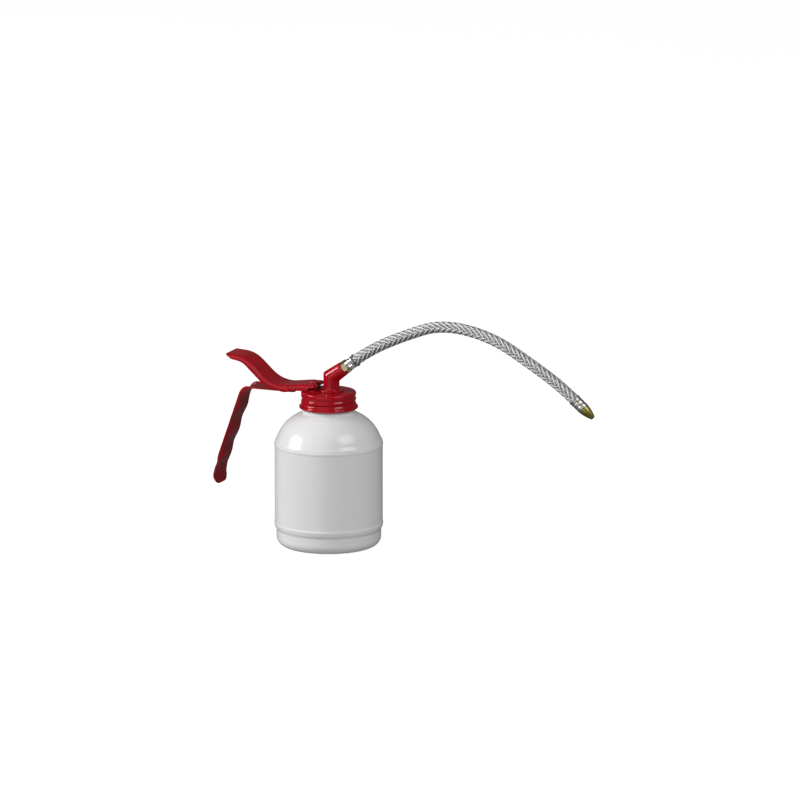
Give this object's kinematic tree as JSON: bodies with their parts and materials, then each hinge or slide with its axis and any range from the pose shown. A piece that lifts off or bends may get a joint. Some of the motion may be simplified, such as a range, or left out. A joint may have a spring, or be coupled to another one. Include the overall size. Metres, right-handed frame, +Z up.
{
  "type": "hand lever oil can",
  "caption": "Hand lever oil can: round plastic bottle, screw lid with a lift pump, thumb lever over a bent finger grip, and a braided flexible spout with a brass tip.",
  "frame": {"origin": "centre of the bottle's flat base", "axes": "+Z up along the bottle's axis, +X from the bottle towards the spout, so the finger grip is at -X"},
  "size_m": [0.3235, 0.0874, 0.1905],
  "materials": {
    "bottle_plastic": "milky translucent polyethylene, satin",
    "red_paint": "gloss enamel",
    "zinc_casting": "as cast",
    "steel": "plain drawn steel",
    "yellow_zinc": "yellow passivated zinc",
    "bright_steel": "bright nickel plate",
    "braid_wire": "bright flat wire braid",
    "brass": "turned, slightly dull",
    "rubber": "black nitrile",
    "tube_plastic": "natural polyethylene",
    "leather": "oiled cup leather"
  },
  "bodies": {
    "bottle": {"bottle": "bottle_plastic"},
    "gasket": {"lid_gasket": "rubber"},
    "head": {"screw_lid": "red_paint", "pump_body": "zinc_casting", "pump_cylinder": "steel", "gland_nut": "yellow_zinc", "rod_seal": "rubber", "inlet_valve_body": "brass", "ball_stop_pin": "steel", "suction_tube": "tube_plastic", "outlet_elbow": "red_paint", "elbow_seal": "rubber", "handle": "red_paint", "handle_rivets": "red_paint", "pivot_rivets": "red_paint", "hose_nipple": "yellow_zinc", "crimp_ferrule": "bright_steel", "hose_liner": "tube_plastic", "hose_braid": "braid_wire", "end_ferrule": "bright_steel", "nozzle_tip": "brass", "return_spring": "steel", "outlet_spring": "steel"},
    "lever": {"lever": "red_paint"},
    "plunger": {"piston_rod": "red_paint", "piston": "brass", "cup_seal": "leather", "cup_washer": "steel", "piston_nut": "steel"},
    "inlet_ball": {"inlet_ball": "steel"},
    "outlet_ball": {"outlet_ball": "steel"}
  },
  "joints": [
    {"name": "lid_lift", "type": "slide", "parent": "bottle", "child": "gasket", "axis": [0, 0, 1], "range_m": [0, 0.008]},
    {"name": "lid_turn", "type": "hinge", "parent": "gasket", "child": "head", "pos_m": [0, 0, 0.12], "axis": [0, 0, 1], "range_deg": [0, 722]},
    {"name": "lever_pivot", "type": "hinge", "parent": "head", "child": "lever", "pos_m": [-0.031, 0, 0.1263], "axis": [0, -1, 0], "range_deg": [0, 14], "stiffness_Nm_per_rad": 0.36, "springref_deg": -20.05},
    {"name": "plunger_slide", "type": "slide", "parent": "head", "child": "plunger", "axis": [0, 0, 1], "range_m": [0, 0.0053], "deforming": ["return_spring"]},
    {"name": "inlet_ball_lift", "type": "slide", "parent": "head", "child": "inlet_ball", "axis": [0, 0, 1], "range_m": [0, 0.0014]},
    {"name": "outlet_ball_lift", "type": "slide", "parent": "head", "child": "outlet_ball", "axis": [0, 0, 1], "range_m": [0, 0.0012], "stiffness_N_per_m": 30, "springref_m": -0.0015, "deforming": ["outlet_spring"]}
  ],
  "couplings": [
    {"joint": "lid_turn", "follows": "lid_lift", "rad_per_m": 1570.8},
    {"joint": "plunger_slide", "follows": "lever_pivot", "m_per_rad": 0.0213}
  ]
}
